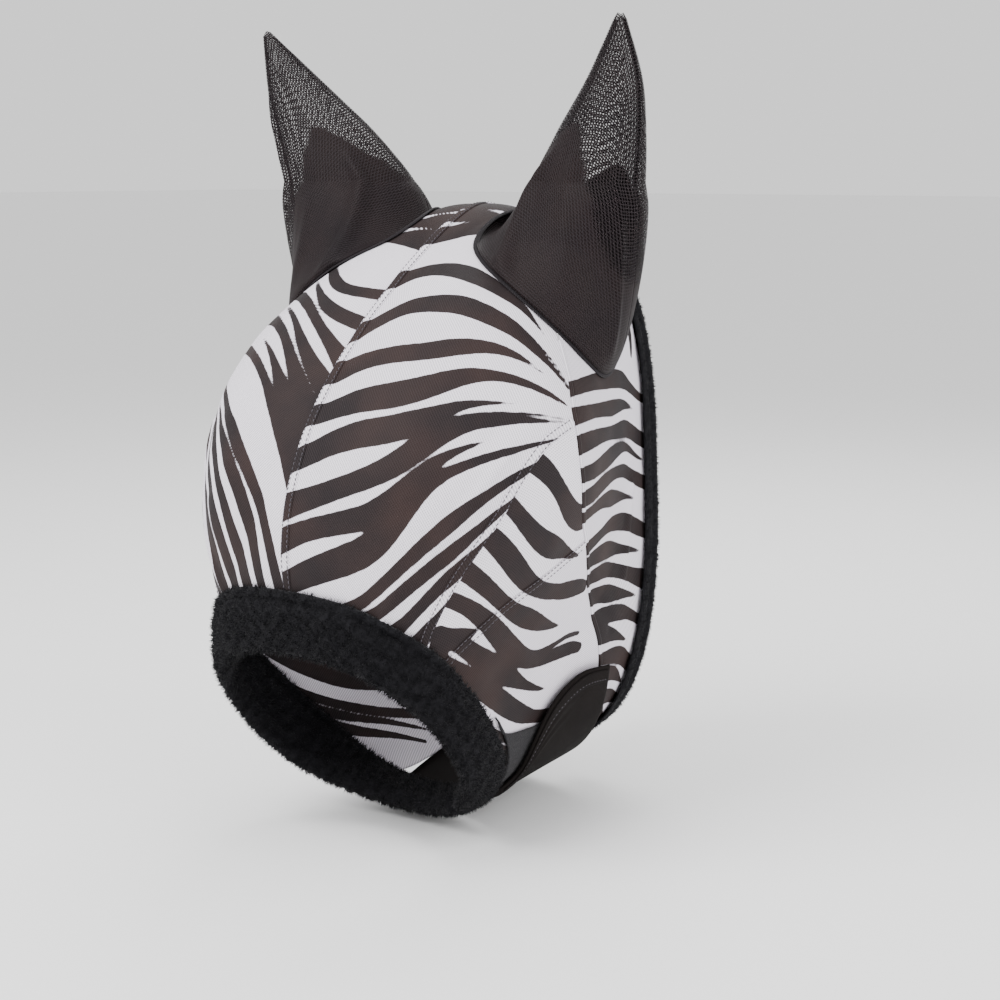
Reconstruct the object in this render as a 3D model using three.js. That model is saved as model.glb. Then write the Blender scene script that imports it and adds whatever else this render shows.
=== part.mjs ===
// A fly mask for a horse: a printed mesh hood cut in four panels a side, with soft mesh ears, a fleece
// noseband, a fleece-trimmed neck edge, and a wrap-over hook-and-loop flap under the jaw.
// Millimetres, +Z up. The horse faces -Y and its left side is +X. The origin is on the crown, between
// the ears, where the mask rests on the poll.
//
// Every piece lies on one head surface S(u, w). u runs from 0 at the nose edge to 1 at the neck edge.
// w runs round the head: 0 at the centre seam of the face, 1 under the jaw, and past 1 up the right side.
import * as THREE from "three";

// Driving dimensions. Each ring of the head surface is given by its front and bottom points in the
// middle plane, its half width, how far the widest place is from the front, and how square it is.
const RINGS = [
  { u: 0.0, frontY: -202, frontZ: -284, bottomY: -66, bottomZ: -440,
    half: 102, widest: 0.44, front: 2.5, rear: 2.1 },
  { u: 0.2, frontY: -207, frontZ: -226, bottomY: -34, bottomZ: -442,
    half: 100, widest: 0.4, front: 2.4, rear: 2.2 },
  { u: 0.4, frontY: -189, frontZ: -163, bottomY: 2, bottomZ: -440,
    half: 100, widest: 0.37, front: 2.3, rear: 2.2 },
  { u: 0.6, frontY: -140, frontZ: -98, bottomY: 38, bottomZ: -436,
    half: 104, widest: 0.38, front: 2.3, rear: 2.2 },
  { u: 0.8, frontY: -55, frontZ: -30, bottomY: 72, bottomZ: -430,
    half: 107, widest: 0.42, front: 2.6, rear: 2.3 },
  { u: 0.9, frontY: 8, frontZ: 0, bottomY: 88, bottomZ: -425,
    half: 104, widest: 0.44, front: 2.9, rear: 2.4 },
  { u: 1.0, frontY: 78, frontZ: -22, bottomY: 102, bottomZ: -418,
    half: 99, widest: 0.46, front: 3.1, rear: 2.5 },
];
const RING_STEPS = 64; // chords that measure the way round one ring

// The eye dart lifts the mesh off the eye in a blunt cone. The reaches are in u and w.
const EYE = {
  u: 0.66, w: 0.28, lift: 72, blunt: 0.02, power: 1.35,
  toNose: 0.6, toNeck: 0.34, toFace: 0.28, toJaw: 0.38,
};

const MESH = 1.0; // thickness of the mesh panels
const PANEL_GAP = 1.8; // between two panels, under their seam
const SEAM_LIFT = 1.5; // air between a panel and the felled seam on it
const SEAM = { width: 7, narrow: 5, thick: 0.8 }; // narrow round the ear hole and down the dart

// Rows and columns of each mesh panel, and its length along the horse's head and width across it.
const FACE_PANEL = { columns: 22, rows: 7, long: 380, wide: 110 };
const EYE_PANEL = { columns: 14, rows: 3, long: 230, wide: 40 };
const JAW_PANEL = { columns: 12, rows: 11, long: 200, wide: 120 };
const REAR_CHEEK_PANEL = { columns: 18, rows: 6, long: 250, wide: 60 };

// Where the seams run, as [u, w] points.
const CHEEK_SEAM = [[0, 0.32], [0.25, 0.31], [0.45, 0.3], [0.6, 0.28], [0.68, 0.29]];
const JAW_SEAM = [[0, 0.36], [0.25, 0.4], [0.5, 0.44], [0.68, 0.47]];
const DART_TOP = [[0.68, 0.29], [0.72, 0.26]]; // then the ear hole
const DART_MIDDLE = [[0.68, 0.29], [0.66, 0.35], [0.66, 0.41], [0.68, 0.47]];
const DART_LOWER = [[0.68, 0.47], [0.74, 0.62], [0.78, 0.72], [0.8, 0.86]];
const JAW_EDGE_LEFT = [[0, 0.62], [0.1, 0.65], [0.25, 0.72], [0.4, 0.78], [0.55, 0.82], [0.8, 0.86]];
const JAW_EDGE_RIGHT = [[0, 0.86], [0.3, 0.87], [0.55, 0.88], [0.8, 0.89]];
const THROAT_END = 0.945; // w where the neck edge of the mesh ends on both sides

// The ear hole is an oval in u and w.
const EAR_HOLE = { u: 0.855, w: 0.19, halfU: 0.095, halfW: 0.125 };
const EAR_HOLE_START = 0.42; // angle where the dart meets the oval, from its lowest place, in half turns
const EAR_HOLE_BACK = 1.5; // angle of its rearmost place

// Level rings of the left ear: centre, half width across and half depth front to back.
const EAR_RINGS = [
  { t: 0.0, x: 92, y: 3, z: -62, across: 56, deep: 44 },
  { t: 0.35, x: 108, y: -9, z: 5, across: 55, deep: 33 },
  { t: 0.62, x: 128, y: -19, z: 50, across: 43, deep: 23 },
  { t: 0.82, x: 148, y: -31, z: 88, across: 26, deep: 14 },
  { t: 1.0, x: 164, y: -47, z: 128, across: 4.5, deep: 4 },
];
const EAR_TURN = -16; // degrees that the wide way of the ear is turned forward from straight out
const EAR_CLEAR = { side: 10, front: 10, rear: 20 }; // air under the sleeve, so that it can tilt
const EAR_NECK = 0.35; // t where the flared foot has become the level oval
const EAR_EDGE = { width: 4, thick: 0.8, lift: 1.1, top: 0.96 };

// Fleece edges: width across the edge, how much of it lies on the mesh, and full thickness.
const NOSEBAND = { width: 48, onMesh: 25, thick: 18, slot: 4.6, from: 0.775, to: -1.21 };
const NECK_TRIM = { width: 23, onMesh: 13, thick: 13, slot: 5.8, from: 0.955, to: -0.955 };

// The closure: a loop tape on the left jaw edge, and a flap hinged at the right jaw edge.
const LOOP_TAPE = { thick: 1.4, lift: 0.9 };
const LOOP_TAPE_TOP = [[0.24, 0.66], [0.42, 0.74], [0.55, 0.76], [0.8, 0.77]];
const LOOP_TAPE_FOOT = [[0.32, 0.945], [0.42, 0.945], [0.55, 0.93], [0.8, 0.9]];
const LOOP_TAPE_FRONT = { top: 0.6, foot: 0.945 }; // w of its front corners, beside the noseband
const FLAP = { thick: 2.0, lift: 5.2, hook: 1.4, hookLift: 3.1 };
const FLAP_HINGE = [[0.4, 1.1], [0.6, 1.1], [0.82, 1.1]];
const FLAP_EDGE = [[0.31, 0.83], [0.4, 0.77], [0.52, 0.72], [0.66, 0.71], [0.8, 0.74]];
const FLAP_FRONT = { edge: 0.85, hinge: 1.1 }; // w of its front corners, beside the noseband
const NOSEBAND_AIR = 6; // between the noseband's lip and what lies on the mesh beside it
const FLAP_BINDING = { width: 8, thick: 1.0, lift: 0.5 };

// ---------------------------------------------------------------------------------- the head surface

/** A smooth curve through the values of key at the knots of list, straight beyond both ends. */
function smooth(list, knot, key, x) {
  const last = list.length - 1;
  const slope = (i) => {
    const a = list[Math.max(i - 1, 0)];
    const b = list[Math.min(i + 1, last)];
    return (b[key] - a[key]) / (b[knot] - a[knot]);
  };
  if (x <= list[0][knot]) return list[0][key] + slope(0) * (x - list[0][knot]);
  if (x >= list[last][knot]) return list[last][key] + slope(last) * (x - list[last][knot]);
  let i = 0;
  while (x > list[i + 1][knot]) i += 1;
  const step = list[i + 1][knot] - list[i][knot];
  const s = (x - list[i][knot]) / step;
  const start = list[i][key] * (1 + 2 * s) * (1 - s) ** 2 + slope(i) * step * s * (1 - s) ** 2;
  return start + list[i + 1][key] * s * s * (3 - 2 * s) + slope(i + 1) * step * s * s * (s - 1);
}

/** The left half of the ring at u, from the face to the jaw, as points with their way round it. */
const ringCache = new Map();
function ring(u) {
  const key = u.toFixed(5);
  if (ringCache.has(key)) return ringCache.get(key);
  const at = (name) => smooth(RINGS, "u", name, u);
  const [front, rear, widest] = [at("front"), at("rear"), at("widest")];
  const points = [];
  const way = [0];
  for (let i = 0; i <= RING_STEPS; i += 1) {
    const angle = (Math.PI * i) / RING_STEPS;
    const c = Math.abs(Math.cos(angle));
    const power = 2 / (i < RING_STEPS / 2 ? front : rear);
    const along = i < RING_STEPS / 2 ? widest * (1 - c ** power) : widest + (1 - widest) * c ** power;
    points.push(new THREE.Vector3(
      at("half") * Math.abs(Math.sin(angle)) ** power,
      THREE.MathUtils.lerp(at("frontY"), at("bottomY"), along),
      THREE.MathUtils.lerp(at("frontZ"), at("bottomZ"), along),
    ));
    if (i > 0) way.push(way[i - 1] + points[i].distanceTo(points[i - 1]));
  }
  points[0].x = 0;
  points[RING_STEPS].x = 0;
  const found = { points, way };
  ringCache.set(key, found);
  return found;
}

/** The same place as w, counted from the face down: 0 to 1 on the left, 0 to -1 on the right. */
const roundHead = (w) => THREE.MathUtils.euclideanModulo(w + 1, 2) - 1;

/** The surface before the eye dart, on either side of the head. */
function bareSurface(u, w) {
  const signed = roundHead(w);
  const { points, way } = ring(u);
  const target = Math.abs(signed) * way[RING_STEPS];
  let i = 0;
  while (i < RING_STEPS - 1 && way[i + 1] < target) i += 1;
  const point = points[i].clone().lerp(points[i + 1], (target - way[i]) / (way[i + 1] - way[i]));
  if (signed < 0) point.x *= -1;
  return point;
}

/** The outward normal of any surface function of u and w. */
function normalOf(surface, u, w) {
  const d = 0.008;
  const alongU = surface(u + d, w).sub(surface(u - d, w));
  const alongW = surface(u, w + d).sub(surface(u, w - d));
  return alongU.cross(alongW).normalize().negate();
}

/** The head surface with the eye darts: a blunt cone raised along the normal on each side. */
function headSurface(u, w) {
  const point = bareSurface(u, w);
  const round = Math.abs(roundHead(w));
  const du = (u - EYE.u) / (u < EYE.u ? EYE.toNose : EYE.toNeck);
  const dw = (round - EYE.w) / (round < EYE.w ? EYE.toFace : EYE.toJaw);
  const rise = Math.max(0, 1 - Math.sqrt(du * du + dw * dw + EYE.blunt));
  if (rise === 0) return point;
  return point.addScaledVector(normalOf(bareSurface, u, w), EYE.lift * rise ** EYE.power);
}

/** A point at a height over the head surface. */
function onHead(u, w, height) {
  return headSurface(u, w).addScaledVector(normalOf(headSurface, u, w), height);
}

/** Millimetres for one unit of u at a place on the surface. */
const stretchU = (u, w) => headSurface(u + 0.01, w).distanceTo(headSurface(u - 0.01, w)) / 0.02;

// ---------------------------------------------------------------------------------- building solids

/** One closed solid from rows of points: the inner and outer skin of a sheet, and its rim. */
function sheetSolid(place, columns, rows, low, high, closed = false) {
  const position = [];
  const index = [];
  const count = closed ? columns : columns + 1;
  const id = (layer, i, j) => (layer * count + (i % count)) * (rows + 1) + j;
  for (const height of [low, high]) {
    for (let i = 0; i < count; i += 1) {
      for (let j = 0; j <= rows; j += 1) position.push(...place(i / columns, j / rows, height).toArray());
    }
  }
  const quad = (a, b, c, d) => index.push(a, b, c, a, c, d);
  for (let i = 0; i < columns; i += 1) {
    for (let j = 0; j < rows; j += 1) {
      quad(id(0, i, j), id(0, i, j + 1), id(0, i + 1, j + 1), id(0, i + 1, j));
      quad(id(1, i, j), id(1, i + 1, j), id(1, i + 1, j + 1), id(1, i, j + 1));
    }
    quad(id(0, i, 0), id(0, i + 1, 0), id(1, i + 1, 0), id(1, i, 0));
    quad(id(0, i, rows), id(1, i, rows), id(1, i + 1, rows), id(0, i + 1, rows));
  }
  for (let j = 0; j < rows && !closed; j += 1) {
    quad(id(0, 0, j), id(1, 0, j), id(1, 0, j + 1), id(0, 0, j + 1));
    quad(id(0, columns, j), id(0, columns, j + 1), id(1, columns, j + 1), id(1, columns, j));
  }
  return solidGeometry(position, index);
}

/** One closed solid from a closed profile of [across, height] points carried along a path. */
function sweptSolid(place, steps, outline) {
  const flat = outline.map(([x, y]) => new THREE.Vector2(x, y));
  const profile = THREE.ShapeUtils.isClockWise(flat) ? flat.toReversed() : flat;
  const position = [];
  const index = [];
  const n = profile.length;
  for (let i = 0; i <= steps; i += 1) {
    for (const { x, y } of profile) position.push(...place(i / steps, x, y).toArray());
  }
  for (let i = 0; i < steps; i += 1) {
    for (let j = 0; j < n; j += 1) {
      const [a, b] = [i * n + j, i * n + ((j + 1) % n)];
      index.push(a, a + n, b, b, a + n, b + n);
    }
  }
  for (const [a, b, c] of THREE.ShapeUtils.triangulateShape(profile, [])) {
    index.push(a, b, c, steps * n + a, steps * n + c, steps * n + b);
  }
  return solidGeometry(position, index);
}

/** A geometry whose faces point outwards. */
function solidGeometry(position, index) {
  const geometry = new THREE.BufferGeometry();
  geometry.setAttribute("position", new THREE.Float32BufferAttribute(position, 3));
  const corner = (k) => new THREE.Vector3(...position.slice(3 * index[k], 3 * index[k] + 3));
  let volume = 0;
  for (let k = 0; k < index.length; k += 3) volume += corner(k).dot(corner(k + 1).cross(corner(k + 2)));
  if (volume < 0) {
    for (let k = 0; k < index.length; k += 3) [index[k], index[k + 1]] = [index[k + 1], index[k]];
  }
  geometry.setIndex(index);
  geometry.computeVertexNormals();
  return geometry;
}

/** The mirror image of a solid in the middle plane. */
function mirrored(geometry) {
  const { position } = geometry.attributes;
  const turned = Array.from(position.array, (value, i) => (i % 3 === 0 ? -value : value));
  return solidGeometry(turned, Array.from(geometry.index.array));
}

/** A function that walks a list of [u, w] points from 0 to 1, by their even distance on the head. */
function path(points) {
  const way = [0];
  for (let i = 1; i < points.length; i += 1) {
    way.push(way[i - 1] + headSurface(...points[i]).distanceTo(headSurface(...points[i - 1])));
  }
  const knots = points.map(([u, w], i) => ({ s: way[i] / way[way.length - 1], u, w }));
  return (s) => [smooth(knots, "s", "u", s), smooth(knots, "s", "w", s)];
}

/** A patch between four edge paths: low and high run along s, start and end join them. */
function patch(low, high, start, end) {
  const corner = (s, t) => (t ? high : low)(s);
  return (s, t) => [0, 1].map((k) => {
    const across = (1 - t) * low(s)[k] + t * high(s)[k] + (1 - s) * start(t)[k] + s * end(t)[k];
    const corners = (1 - s) * ((1 - t) * corner(0, 0)[k] + t * corner(0, 1)[k]);
    return across - corners - s * ((1 - t) * corner(1, 0)[k] + t * corner(1, 1)[k]);
  });
}

/** A mesh panel on a patch, held back from its edges by half the panel gap. */
function panel(area, { columns, rows, long, wide }) {
  const [gapS, gapT] = [PANEL_GAP / 2 / long, PANEL_GAP / 2 / wide];
  return sheetSolid((s, t, height) => {
    const [u, w] = area(gapS + s * (1 - 2 * gapS), gapT + t * (1 - 2 * gapT));
    return onHead(u, w, height);
  }, columns, rows, 0, MESH);
}

/** A narrow strip of even width along a path on the head, from one height to another. */
function strip(walk, steps, width, low, high, closed = false) {
  return sheetSolid((s, t, height) => {
    const [u, w] = walk(s);
    const [before, after] = [headSurface(...walk(s - 0.004)), headSurface(...walk(s + 0.004))];
    const sideways = after.sub(before).cross(normalOf(headSurface, u, w)).normalize();
    return onHead(u, w, height).addScaledVector(sideways, (t - 0.5) * width);
  }, steps, 1, low, high, closed);
}

/** The folded section of a fleece edge: a flat oval with a slot that takes the edge of the mesh. */
function foldedProfile({ width, onMesh, thick, slot }) {
  const beyond = width - onMesh;
  const half = thick / 2;
  const slotEnd = Math.min(2.5, beyond / 3);
  const [top, foot] = [MESH / 2 + slot / 2, MESH / 2 - slot / 2];
  const bulge = [
    [-onMesh + 5, half * 0.78], [-onMesh + width * 0.42, half], [beyond - half * 0.6, half * 0.74],
  ];
  return [
    [-onMesh, top], [-onMesh + 0.8, top + 1.2], ...bulge, [beyond, 0],
    ...bulge.toReversed().map(([across, height]) => [across, -height]), [-onMesh + 0.8, foot - 1.2],
    [-onMesh, foot], [-onMesh / 2, foot - 0.3], [slotEnd, foot], [slotEnd, top], [-onMesh / 2, top + 0.3],
  ];
}

/** A fleece edge along the ring at u, folded over it. direction is +1 at the neck and -1 at the nose. */
function fleeceEdge(size, u, direction, steps) {
  return sweptSolid((s, across, height) => {
    const w = size.from + (size.to - size.from) * s;
    return onHead(u + (direction * across) / stretchU(u, w), w, height);
  }, steps, foldedProfile(size));
}

// ---------------------------------------------------------------------------------- the ears

/** The edge of the ear hole. Half turns: 0 lowest, 0.5 front, 1 top, 1.5 back. */
function earHole(halfTurns) {
  const angle = Math.PI * halfTurns;
  return [EAR_HOLE.u - EAR_HOLE.halfU * Math.sin(angle), EAR_HOLE.w + EAR_HOLE.halfW * Math.cos(angle)];
}

/** The sleeve of the left ear: a flared foot from the ear hole into level ovals up to the tip. */
function earSurface(t, halfTurns) {
  const angle = Math.PI * halfTurns;
  const at = (name) => smooth(EAR_RINGS, "t", name, t);
  const turn = THREE.MathUtils.degToRad(EAR_TURN);
  const out = at("across") * Math.cos(angle);
  const forward = at("deep") * Math.sin(angle);
  const oval = new THREE.Vector3(
    at("x") + out * Math.cos(turn) + forward * Math.sin(turn),
    at("y") + out * Math.sin(turn) - forward * Math.cos(turn),
    at("z"),
  );
  const risen = THREE.MathUtils.smoothstep(t, 0, EAR_NECK);
  return onHead(...earHole(halfTurns), 2).lerp(oval, risen);
}

/** A point at a height over the ear sleeve. */
function onEar(t, halfTurns, height) {
  const alongT = earSurface(t + 0.01, halfTurns).sub(earSurface(t - 0.01, halfTurns));
  const around = earSurface(t, halfTurns + 0.02).sub(earSurface(t, halfTurns - 0.02));
  return earSurface(t, halfTurns).addScaledVector(alongT.cross(around).normalize().negate(), height);
}

/** The t where the rigid sleeve starts, which leaves the air that its tilt needs. */
function earFoot(halfTurns) {
  const level = Math.sin(Math.PI * halfTurns);
  const air = EAR_CLEAR.side + Math.abs(level) * (level > 0 ? EAR_CLEAR.front : EAR_CLEAR.rear);
  let t = 0.02;
  const foot = earSurface(0, halfTurns);
  while (earSurface(t, halfTurns).distanceTo(foot) < air) t += 0.004;
  return t;
}

/** Half of the sleeve, between two seams. */
function earPanel(from, to) {
  return sheetSolid((s, t, height) => {
    const halfTurns = from + (to - from) * s;
    const foot = earFoot(halfTurns);
    return onEar(foot + (1 - foot) * t, halfTurns, height);
  }, 10, 9, 0, MESH);
}

/** The felled seam up one edge of the ear. */
function earSeam(halfTurns) {
  return sheetSolid((s, t, height) => {
    const foot = earFoot(halfTurns);
    const place = foot + (EAR_EDGE.top - foot) * t;
    const around = earSurface(place, halfTurns + 0.02).sub(earSurface(place, halfTurns - 0.02));
    const aside = around.setLength((s - 0.5) * EAR_EDGE.width);
    return onEar(place, halfTurns, height).add(aside);
  }, 1, 12, MESH + EAR_EDGE.lift, MESH + EAR_EDGE.lift + EAR_EDGE.thick);
}

// ---------------------------------------------------------------------------------- the assembly

const material = (color, roughness) => new THREE.MeshStandardMaterial({ color, roughness, metalness: 0 });
const LOOKS = {
  print: material(0x8f8891, 0.75),
  seam: material(0x4a3f42, 0.8),
  earMesh: material(0x3c373e, 0.7),
  fleece: material(0x1e1e22, 0.95),
  tape: material(0x17161a, 0.85),
  flap: material(0x26201e, 0.7),
};

const mask = new THREE.Group();
function add(name, geometry, look) {
  const mesh = new THREE.Mesh(geometry, LOOKS[look]);
  mesh.name = name;
  mask.add(mesh);
}

const line = (a, b) => (s) => [a[0] + (b[0] - a[0]) * s, a[1] + (b[1] - a[1]) * s];
const holeArc = (from, to) => (s) => earHole(from + (to - from) * s);

/** Joins walks end to end, each taking its share of the way from 0 to 1. */
function joined(pieces) {
  return (s) => {
    let start = 0;
    for (const [walk, share] of pieces) {
      if (s <= start + share || walk === pieces[pieces.length - 1][0]) return walk((s - start) / share);
      start += share;
    }
    return null;
  };
}

const backOfHole = earHole(EAR_HOLE_BACK);
const crownEnd = [1, backOfHole[1]];
const cheekSeam = path(CHEEK_SEAM);
const jawSeam = path(JAW_SEAM);
const dartTop = [...DART_TOP, earHole(EAR_HOLE_START)];

/** The dart from the ear hole down to a given foot on the jaw edge. */
const wholeDart = (foot) => path([
  ...dartTop.toReversed(), ...DART_MIDDLE.slice(1), ...DART_LOWER.slice(1, -1), foot,
]);

// Outer edge of the face panel: the cheek seam, the top of the dart, the inner side of the ear hole,
// and the short crown seam behind the ear.
const faceEdge = joined([
  [cheekSeam, 0.56],
  [path(dartTop), 0.1],
  [holeArc(EAR_HOLE_START, EAR_HOLE_BACK), 0.29],
  [line(backOfHole, crownEnd), 0.05],
]);
const facePatch = patch((s) => [s, 0], faceEdge, line([0, 0], CHEEK_SEAM[0]), line([1, 0], crownEnd));
const eyePatch = patch(cheekSeam, jawSeam, line(CHEEK_SEAM[0], JAW_SEAM[0]), path(DART_MIDDLE));
const rearTop = joined([
  [holeArc(EAR_HOLE_START, EAR_HOLE_BACK - 2), 0.85],
  [line(backOfHole, crownEnd), 0.15],
]);

/** The jaw panel and the rear cheek panel end at the jaw edge, which is higher on the left side. */
function lowerPatches(jawEdge) {
  const [nose, dartFoot] = [jawEdge[0], jawEdge[jawEdge.length - 1]];
  const lower = path([...DART_LOWER.slice(0, -1), dartFoot]);
  const neck = [1, THROAT_END];
  return {
    jaw: patch(jawSeam, path(jawEdge), line(JAW_SEAM[0], nose), lower),
    rear: patch(wholeDart(dartFoot), line(crownEnd, neck), rearTop, line(dartFoot, neck)),
  };
}

for (const side of ["left", "right"]) {
  const place = side === "left" ? (geometry) => geometry : mirrored;
  const lower = lowerPatches(side === "left" ? JAW_EDGE_LEFT : JAW_EDGE_RIGHT);
  add(`face_panel_${side}`, place(panel(facePatch, FACE_PANEL)), "print");
  add(`eye_panel_${side}`, place(panel(eyePatch, EYE_PANEL)), "print");
  add(`jaw_panel_${side}`, place(panel(lower.jaw, JAW_PANEL)), "print");
  add(`rear_cheek_panel_${side}`, place(panel(lower.rear, REAR_CHEEK_PANEL)), "print");

  const [low, high] = [MESH + SEAM_LIFT, MESH + SEAM_LIFT + SEAM.thick];
  const part = (walk, from, to) => (s) => walk(from + (to - from) * s);
  const dart = part(wholeDart(DART_LOWER.at(-1)), 0.05, 0.82);
  const hole = (s) => earHole(2 * s);
  add(`cheek_seam_${side}`, place(strip(part(cheekSeam, 0.14, 0.97), 18, SEAM.width, low, high)), "seam");
  add(`jaw_seam_${side}`, place(strip(part(jawSeam, 0.19, 0.96), 14, SEAM.width, low, high)), "seam");
  add(`dart_seam_${side}`, place(strip(dart, 20, SEAM.narrow, low, high)), "seam");
  add(`ear_hole_seam_${side}`, place(strip(hole, 32, SEAM.narrow, low, high, true)), "seam");

  add(`ear_front_${side}`, place(earPanel(0.025, 0.975)), "earMesh");
  add(`ear_back_${side}`, place(earPanel(1.025, 1.975)), "earMesh");
  add(`ear_outer_seam_${side}`, place(earSeam(0)), "earMesh");
  add(`ear_inner_seam_${side}`, place(earSeam(1)), "earMesh");
}

const centreFrom = NOSEBAND.onMesh / stretchU(0, 0) + 0.005;
const centreTo = 1 - NECK_TRIM.onMesh / stretchU(1, 0) - 0.005;
add("centre_seam", strip(
  (s) => [centreFrom + (centreTo - centreFrom) * s, 0], 34, SEAM.width,
  MESH + SEAM_LIFT, MESH + SEAM_LIFT + SEAM.thick,
), "seam");

add("noseband_fleece", fleeceEdge(NOSEBAND, 0, -1, 54), "fleece");
add("neck_fleece", fleeceEdge(NECK_TRIM, 1, 1, 46), "fleece");

/** A patch under the jaw whose front edge, from w = high to w = low, runs beside the noseband. */
function jawPatch(edge, foot, high, low) {
  const beside = (w) => [(NOSEBAND.onMesh + NOSEBAND_AIR) / stretchU(0, w), w];
  const front = (t) => beside(high + (low - high) * t);
  return patch(path([front(0), ...edge]), path([front(1), ...foot]), front, line(edge.at(-1), foot.at(-1)));
}

const tapePatch = jawPatch(LOOP_TAPE_TOP, LOOP_TAPE_FOOT, LOOP_TAPE_FRONT.top, LOOP_TAPE_FRONT.foot);
add("loop_tape", sheetSolid(
  (s, t, height) => onHead(...tapePatch(s, t), height), 12, 7,
  MESH + LOOP_TAPE.lift, MESH + LOOP_TAPE.lift + LOOP_TAPE.thick,
), "tape");

const flapPatch = jawPatch(FLAP_EDGE, FLAP_HINGE, FLAP_FRONT.edge, FLAP_FRONT.hinge);
const flapOuter = MESH + FLAP.lift + FLAP.thick;
add("throat_flap", sheetSolid(
  (s, t, height) => onHead(...flapPatch(s, t), height), 14, 10, MESH + FLAP.lift, flapOuter,
), "flap");
add("hook_tape", sheetSolid(
  (s, t, height) => onHead(...flapPatch(0.06 + 0.88 * s, 0.05 + 0.3 * t), height), 14, 4,
  MESH + FLAP.hookLift, MESH + FLAP.hookLift + FLAP.hook,
), "tape");
add("flap_binding", strip(
  (s) => flapPatch(0.03 + 0.94 * s, 0.05), 24, FLAP_BINDING.width,
  flapOuter + FLAP_BINDING.lift, flapOuter + FLAP_BINDING.lift + FLAP_BINDING.thick,
), "tape");

export default mask;
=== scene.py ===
# A fly mask for a horse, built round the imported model: printed mesh panels, soft mesh ears, felled and
# stitched seams, a fleece noseband and neck edge, and a hook-and-loop flap under the jaw. Sizes are in
# millimetres until a mesh is made, +Z up, the horse facing -Y with its left side at +X.
import math

import bpy
import numpy as np
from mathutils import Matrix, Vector


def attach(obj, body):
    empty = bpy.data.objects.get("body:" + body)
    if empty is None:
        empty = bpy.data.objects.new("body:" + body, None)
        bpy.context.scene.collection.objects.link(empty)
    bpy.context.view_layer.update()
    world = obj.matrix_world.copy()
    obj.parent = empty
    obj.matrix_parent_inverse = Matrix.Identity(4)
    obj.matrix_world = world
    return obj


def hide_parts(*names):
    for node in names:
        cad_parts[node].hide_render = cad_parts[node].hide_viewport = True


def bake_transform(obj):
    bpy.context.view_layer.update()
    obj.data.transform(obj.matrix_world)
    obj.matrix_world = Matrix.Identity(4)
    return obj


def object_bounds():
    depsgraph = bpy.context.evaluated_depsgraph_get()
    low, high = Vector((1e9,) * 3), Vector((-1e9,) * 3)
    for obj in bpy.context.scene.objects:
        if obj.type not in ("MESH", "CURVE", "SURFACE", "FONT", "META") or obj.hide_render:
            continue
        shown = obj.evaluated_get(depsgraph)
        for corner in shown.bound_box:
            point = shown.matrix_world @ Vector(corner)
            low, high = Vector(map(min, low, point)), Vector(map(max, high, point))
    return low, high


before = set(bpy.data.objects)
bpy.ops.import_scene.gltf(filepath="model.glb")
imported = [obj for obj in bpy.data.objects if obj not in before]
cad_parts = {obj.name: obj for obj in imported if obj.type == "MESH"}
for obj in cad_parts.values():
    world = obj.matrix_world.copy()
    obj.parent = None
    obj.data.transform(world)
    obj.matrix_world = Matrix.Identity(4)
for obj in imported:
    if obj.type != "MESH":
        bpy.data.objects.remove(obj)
cad_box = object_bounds()

# ------------------------------------------------------------------------- camera, floor and light
# A long lens looks from ahead of the left cheek and a little above it. The floor is plain and pale and
# lies just under the jaw's pile, and three soft boxes and a bright room light the mask without hard shadows.
AIM = Vector((0.0365, -0.0152, -0.2172))
CAMERA_TURN, CAMERA_RISE = math.radians(38), math.radians(9)
CAMERA_AWAY, LENS = 1.575, 76.07


def toward(turn, rise):
    """The unit vector to a place at a turn from straight ahead of the horse and a rise over the floor."""
    return Vector((math.sin(turn) * math.cos(rise), -math.cos(turn) * math.cos(rise), math.sin(rise)))


camera = bpy.data.objects.new("camera", bpy.data.cameras.new("camera"))
camera.data.lens = LENS
camera.location = AIM + toward(CAMERA_TURN, CAMERA_RISE) * CAMERA_AWAY
camera.rotation_euler = (-toward(CAMERA_TURN, CAMERA_RISE)).to_track_quat("-Z", "Y").to_euler()
bpy.context.scene.collection.objects.link(camera)
bpy.context.scene.camera = camera

for name, turn, rise, away, size, power in (
    ("key_light", -18, 42, 1.7, 1.1, 34),
    ("side_light", 86, 22, 1.9, 1.3, 24),
    ("back_light", 200, 50, 1.9, 1.2, 22),
):
    lamp = bpy.data.objects.new(name, bpy.data.lights.new(name, "AREA"))
    lamp.data.size = size
    lamp.data.energy = power
    way = toward(math.radians(turn), math.radians(rise))
    lamp.location = AIM + way * away
    lamp.rotation_euler = (-way).to_track_quat("-Z", "Y").to_euler()
    bpy.context.scene.collection.objects.link(lamp)

room = bpy.data.worlds.new("pale_room")
room.use_nodes = True
room.node_tree.nodes["Background"].inputs["Color"].default_value = (1, 1, 1, 1)
room.node_tree.nodes["Background"].inputs["Strength"].default_value = 1.15
bpy.context.scene.world = room

FLOOR_HALF, PILE_ROOM = 30.0, 0.006
floor_z = cad_box[0].z - PILE_ROOM
floor_mesh = bpy.data.meshes.new("floor")
floor_mesh.from_pydata(
    [(x * FLOOR_HALF, y * FLOOR_HALF, floor_z) for x, y in ((-1, -1), (1, -1), (1, 1), (-1, 1))],
    [], [(0, 1, 2, 3)],
)
floor_paint = bpy.data.materials.new("floor_paint")
floor_paint.use_nodes = True
floor_paint.node_tree.nodes["Principled BSDF"].inputs["Base Color"].default_value = (0.9, 0.9, 0.9, 1)
floor_paint.node_tree.nodes["Principled BSDF"].inputs["Roughness"].default_value = 0.9
floor_mesh.materials.append(floor_paint)
floor = bpy.data.objects.new("floor", floor_mesh)
bpy.context.scene.collection.objects.link(floor)

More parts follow.
